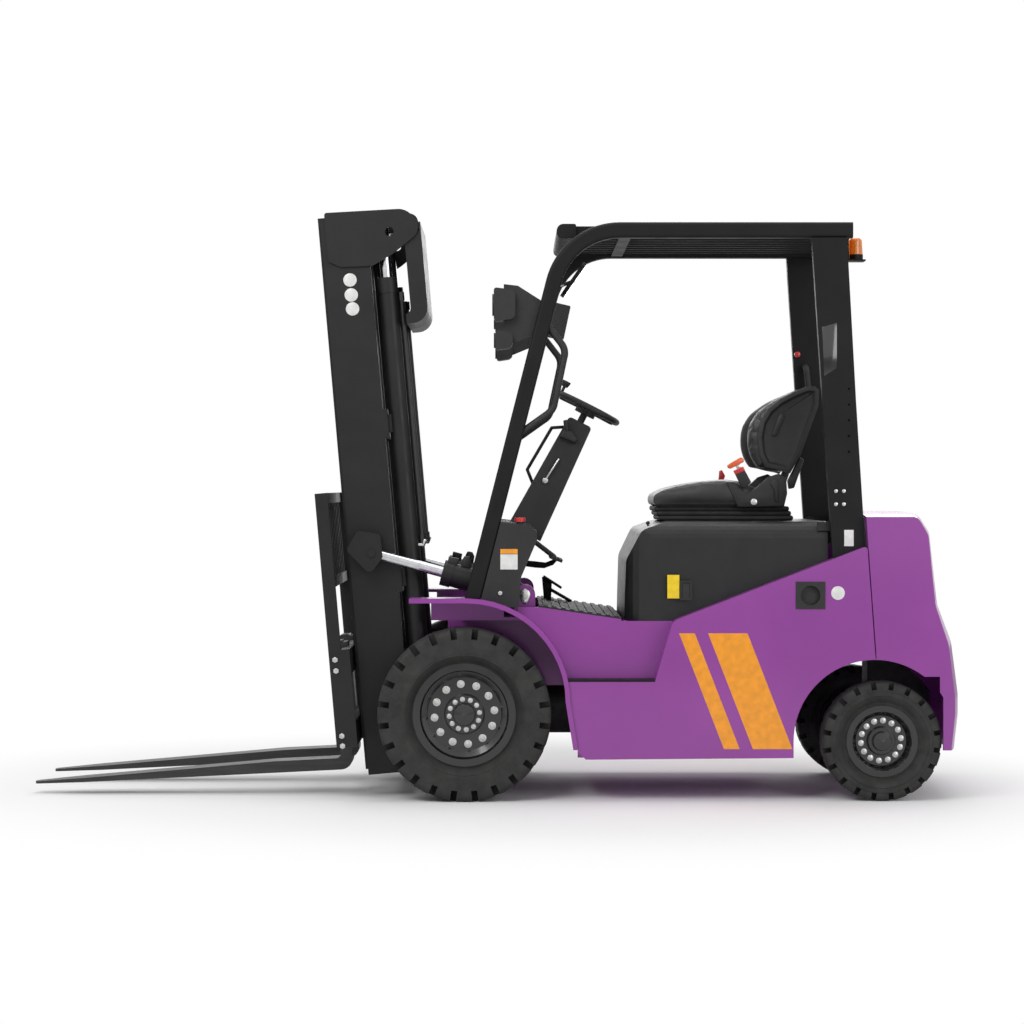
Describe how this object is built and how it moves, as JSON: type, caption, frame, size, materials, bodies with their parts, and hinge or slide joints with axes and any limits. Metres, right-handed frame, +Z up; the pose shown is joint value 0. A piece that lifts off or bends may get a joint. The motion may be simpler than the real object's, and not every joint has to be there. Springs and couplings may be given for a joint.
{
  "type": "forklift truck",
  "caption": "Electric counterbalance forklift truck with a two-stage mast, tilting forks, an open overhead guard, a hinged seat hood and steered rear wheels.",
  "frame": {"origin": "on the floor, below the middle of the bounding box", "axes": "+X forward along the forks, +Y to the driver's left, +Z up"},
  "size_m": [3.5916, 1.16, 2.2725],
  "materials": {
    "body_paint": "glossy purple paint",
    "black_steel": "satin black powder coat",
    "mast_steel": "satin black paint",
    "fork_steel": "satin black paint, worn on the blades",
    "cast_parts": "black painted castings",
    "rim_paint": "glossy black paint",
    "tyre": "matt black rubber",
    "floor_rubber": "ribbed black rubber",
    "hose_rubber": "smooth black hose",
    "dark_plastic": "grained dark grey plastic",
    "hood_plastic": "grained black moulding",
    "seat_cover": "black vinyl",
    "amber_lens": "clear amber lens",
    "mirror_glass": "mirror glass in a black rim",
    "chrome_rod": "hard chrome",
    "chain_steel": "oiled leaf chain",
    "battery_case": "grey painted case"
  },
  "bodies": {
    "chassis": {"frame": "body_paint", "side_panels": "body_paint", "fenders": "body_paint", "steps": "black_steel", "floor_mat": "floor_rubber", "dash": "dark_plastic", "pedals": "floor_rubber", "steering_column": "dark_plastic", "guard_frames": "black_steel", "rear_pillars": "black_steel", "roof_grille": "black_steel", "beacon": "amber_lens", "lamps": "dark_plastic", "grab_handles": "dark_plastic", "rear_mirror": "mirror_glass", "display": "dark_plastic", "counterweight": "body_paint", "battery": "battery_case", "charge_port": "dark_plastic", "drive_axle": "cast_parts", "steer_axle": "cast_parts"},
    "hood": {"hood": "hood_plastic", "seat_bellows": "seat_cover", "seat_cushion": "seat_cover", "seat_back": "seat_cover"},
    "steering_wheel": {"steering_wheel": "dark_plastic"},
    "front_wheel_left": {"front_tyre_left": "tyre", "front_rim_left": "rim_paint"},
    "front_wheel_right": {"front_tyre_right": "tyre", "front_rim_right": "rim_paint"},
    "rear_wheel_left": {"rear_tyre_left": "tyre", "rear_rim_left": "rim_paint"},
    "rear_wheel_right": {"rear_tyre_right": "tyre", "rear_rim_right": "rim_paint"},
    "knuckle_left": {"knuckle_left": "cast_parts"},
    "knuckle_right": {"knuckle_right": "cast_parts"},
    "outer_mast": {"outer_rails": "mast_steel", "outer_cross": "mast_steel", "mast_guard": "mast_steel", "lift_barrels": "mast_steel", "mast_hoses": "hose_rubber"},
    "inner_mast": {"inner_mast": "mast_steel", "lift_rods": "chrome_rod", "lift_chains": "chain_steel"},
    "fork_carriage": {"carriage": "mast_steel", "load_backrest": "mast_steel", "forks": "fork_steel"},
    "tilt_barrel_left": {"tilt_barrel_left": "mast_steel"},
    "tilt_barrel_right": {"tilt_barrel_right": "mast_steel"},
    "tilt_rod_left": {"tilt_rod_left": "chrome_rod"},
    "tilt_rod_right": {"tilt_rod_right": "chrome_rod"}
  },
  "joints": [
    {"name": "front_left_roll", "type": "hinge", "parent": "chassis", "child": "front_wheel_left", "pos_m": [0.11615, 0.485, 0.33], "axis": [0, 1, 0], "continuous": true},
    {"name": "front_right_roll", "type": "hinge", "parent": "chassis", "child": "front_wheel_right", "pos_m": [0.11615, -0.485, 0.33], "axis": [0, 1, 0], "continuous": true},
    {"name": "steer", "type": "hinge", "parent": "chassis", "child": "knuckle_left", "pos_m": [-1.47385, 0.385, 0.2275], "axis": [0, 0, 1], "range_deg": [-70, 70]},
    {"name": "steer_right", "type": "hinge", "parent": "chassis", "child": "knuckle_right", "pos_m": [-1.47385, -0.385, 0.2275], "axis": [0, 0, 1], "range_deg": [-70, 70]},
    {"name": "rear_left_roll", "type": "hinge", "parent": "knuckle_left", "child": "rear_wheel_left", "pos_m": [-1.47385, 0.475, 0.2275], "axis": [0, 1, 0], "continuous": true},
    {"name": "rear_right_roll", "type": "hinge", "parent": "knuckle_right", "child": "rear_wheel_right", "pos_m": [-1.47385, -0.475, 0.2275], "axis": [0, 1, 0], "continuous": true},
    {"name": "steering_wheel_turn", "type": "hinge", "parent": "chassis", "child": "steering_wheel", "pos_m": [-0.36685, 0, 1.511], "axis": [-0.4524, 0, 0.8918], "continuous": true},
    {"name": "hood_lid", "type": "hinge", "parent": "chassis", "child": "hood", "pos_m": [-1.30585, 0, 1.05], "axis": [0, -1, 0], "range_deg": [0, 60]},
    {"name": "mast_tilt", "type": "hinge", "parent": "chassis", "child": "outer_mast", "pos_m": [0.11615, 0, 0.33], "axis": [0, -1, 0], "range_deg": [-1, 15]},
    {"name": "mast_lift", "type": "slide", "parent": "outer_mast", "child": "inner_mast", "axis": [0.0872, 0, 0.9962], "range_m": [0, 1.5]},
    {"name": "carriage_lift", "type": "slide", "parent": "inner_mast", "child": "fork_carriage", "axis": [0.0872, 0, 0.9962], "range_m": [0, 1.5]},
    {"name": "tilt_barrel_left", "type": "hinge", "parent": "chassis", "child": "tilt_barrel_left", "pos_m": [-0.11485, 0.385, 0.78], "axis": [0, -1, 0], "range_deg": [-1.1, 13.7]},
    {"name": "tilt_rod_left", "type": "slide", "parent": "tilt_barrel_left", "child": "tilt_rod_left", "axis": [0.9648, 0, 0.2628], "range_m": [-0.1336, 0.0108]},
    {"name": "tilt_barrel_right", "type": "hinge", "parent": "chassis", "child": "tilt_barrel_right", "pos_m": [-0.11485, -0.385, 0.78], "axis": [0, -1, 0], "range_deg": [-1.1, 13.7]},
    {"name": "tilt_rod_right", "type": "slide", "parent": "tilt_barrel_right", "child": "tilt_rod_right", "axis": [0.9648, 0, 0.2628], "range_m": [-0.1336, 0.0108]}
  ],
  "couplings": [
    {"joint": "steer_right", "follows": "steer", "ratio": 1},
    {"joint": "carriage_lift", "follows": "mast_lift", "ratio": 1},
    {"joint": "tilt_barrel_left", "follows": "mast_tilt", "ratio": 0.9},
    {"joint": "tilt_rod_left", "follows": "mast_tilt", "m_per_rad": -0.5025},
    {"joint": "tilt_barrel_right", "follows": "mast_tilt", "ratio": 0.9},
    {"joint": "tilt_rod_right", "follows": "mast_tilt", "m_per_rad": -0.5025}
  ]
}
